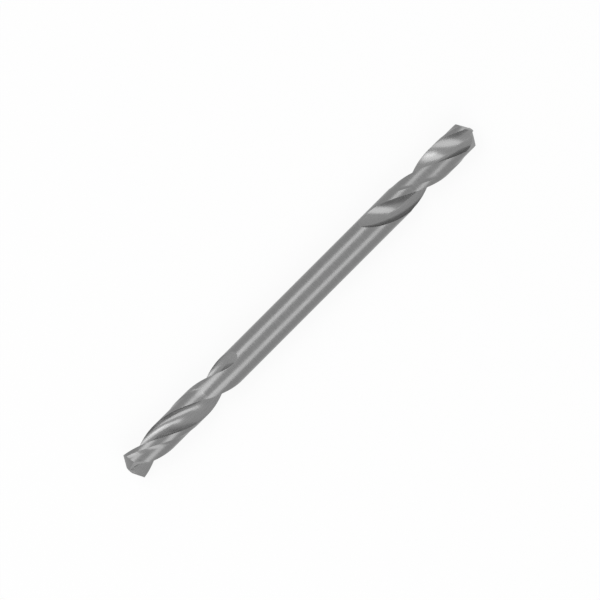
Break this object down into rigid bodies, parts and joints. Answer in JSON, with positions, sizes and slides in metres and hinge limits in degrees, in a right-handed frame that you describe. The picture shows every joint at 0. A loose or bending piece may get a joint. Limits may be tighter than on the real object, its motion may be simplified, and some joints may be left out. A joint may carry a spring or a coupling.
{
  "type": "double-end stub drill bit",
  "caption": "Short twist drill with a fluted, split-point cutting end at each end of a plain cylindrical shank.",
  "frame": {"origin": "the drill's axis, midway between the tips of its two points", "axes": "+X along the drill towards the end that the picture shows at the upper right; +Z towards the picture's camera; +Y completes the frame"},
  "size_m": [0.049, 0.0032, 0.0032],
  "materials": {
    "tool_steel": "bright high-speed steel: shank ground crosswise, flutes and points ground lengthwise and left satin"
  },
  "bodies": {
    "root": {"drill_bit": "tool_steel"}
  },
  "joints": []
}
